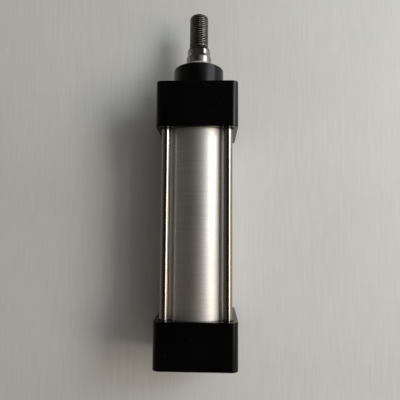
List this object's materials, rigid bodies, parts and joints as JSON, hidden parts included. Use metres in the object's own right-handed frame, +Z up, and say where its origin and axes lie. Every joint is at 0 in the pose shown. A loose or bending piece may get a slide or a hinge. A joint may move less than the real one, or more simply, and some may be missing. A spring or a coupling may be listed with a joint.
{
  "type": "pneumatic cylinder",
  "caption": "Double-acting tie-rod pneumatic cylinder with square black end caps, an aluminium barrel, side air ports and a threaded piston rod that slides and turns.",
  "frame": {"origin": "centre of the rear cap end face, on the cylinder axis", "axes": "+X along the axis towards the rod end, +Z up away from the face the cylinder lies on, -Y towards the side with the air ports"},
  "size_m": [0.2196, 0.049, 0.049],
  "materials": {
    "black_anodised": "black anodised, polished",
    "satin_aluminium": "drawn and satin anodised",
    "machined_aluminium": "turned",
    "chrome": "hard chrome plated and polished",
    "zinc_steel": "zinc plated",
    "bronze": "sintered bronze",
    "brass": "turned",
    "black_rubber": "moulded",
    "pale_polyurethane": "moulded polyurethane",
    "dark_nylon": "moulded"
  },
  "bodies": {
    "cylinder_body": {"rear_cap": "black_anodised", "front_cap": "black_anodised", "barrel_tube": "satin_aluminium", "tie_rod_1": "chrome", "tie_rod_2": "chrome", "tie_rod_3": "chrome", "tie_rod_4": "chrome", "tie_rod_nut_front_1": "zinc_steel", "tie_rod_nut_front_2": "zinc_steel", "tie_rod_nut_front_3": "zinc_steel", "tie_rod_nut_front_4": "zinc_steel", "tie_rod_nut_rear_1": "zinc_steel", "tie_rod_nut_rear_2": "zinc_steel", "tie_rod_nut_rear_3": "zinc_steel", "tie_rod_nut_rear_4": "zinc_steel", "front_cushion_seal": "black_rubber", "rear_cushion_seal": "black_rubber", "rod_guide_bush": "bronze", "rod_packing": "pale_polyurethane", "front_tube_o_ring": "black_rubber", "rear_tube_o_ring": "black_rubber", "front_needle_retainer": "zinc_steel", "rear_needle_retainer": "zinc_steel"},
    "piston_seals": {"piston_seal_rear": "black_rubber", "piston_seal_front": "black_rubber", "piston_wear_ring": "dark_nylon"},
    "rod_and_piston": {"piston_rod": "chrome", "piston": "machined_aluminium", "piston_o_ring": "black_rubber", "front_cushion_sleeve": "zinc_steel", "rear_cushion_sleeve": "zinc_steel", "piston_lock_nut": "zinc_steel"},
    "front_needle_ring": {"front_needle_o_ring": "black_rubber"},
    "front_needle": {"front_cushion_needle": "brass"},
    "rear_needle_ring": {"rear_needle_o_ring": "black_rubber"},
    "rear_needle": {"rear_cushion_needle": "brass"}
  },
  "joints": [
    {"name": "rod_slide", "type": "slide", "parent": "cylinder_body", "child": "piston_seals", "axis": [1, 0, 0], "range_m": [0, 0.075]},
    {"name": "rod_turn", "type": "hinge", "parent": "piston_seals", "child": "rod_and_piston", "pos_m": [0, 0, 0], "axis": [1, 0, 0], "continuous": true},
    {"name": "front_needle_travel", "type": "slide", "parent": "cylinder_body", "child": "front_needle_ring", "axis": [0, -1, 0], "range_m": [-0.0005, 0.001]},
    {"name": "front_needle_turn", "type": "hinge", "parent": "front_needle_ring", "child": "front_needle", "pos_m": [0.15425, -0.0245, 0.0085], "axis": [0, -1, 0], "range_deg": [-360, 720]},
    {"name": "rear_needle_travel", "type": "slide", "parent": "cylinder_body", "child": "rear_needle_ring", "axis": [0, -1, 0], "range_m": [-0.0005, 0.001]},
    {"name": "rear_needle_turn", "type": "hinge", "parent": "rear_needle_ring", "child": "rear_needle", "pos_m": [0.01375, -0.0245, 0.0085], "axis": [0, -1, 0], "range_deg": [-360, 720]}
  ],
  "couplings": [
    {"joint": "front_needle_turn", "follows": "front_needle_travel", "rad_per_m": 12566},
    {"joint": "rear_needle_turn", "follows": "rear_needle_travel", "rad_per_m": 12566}
  ]
}
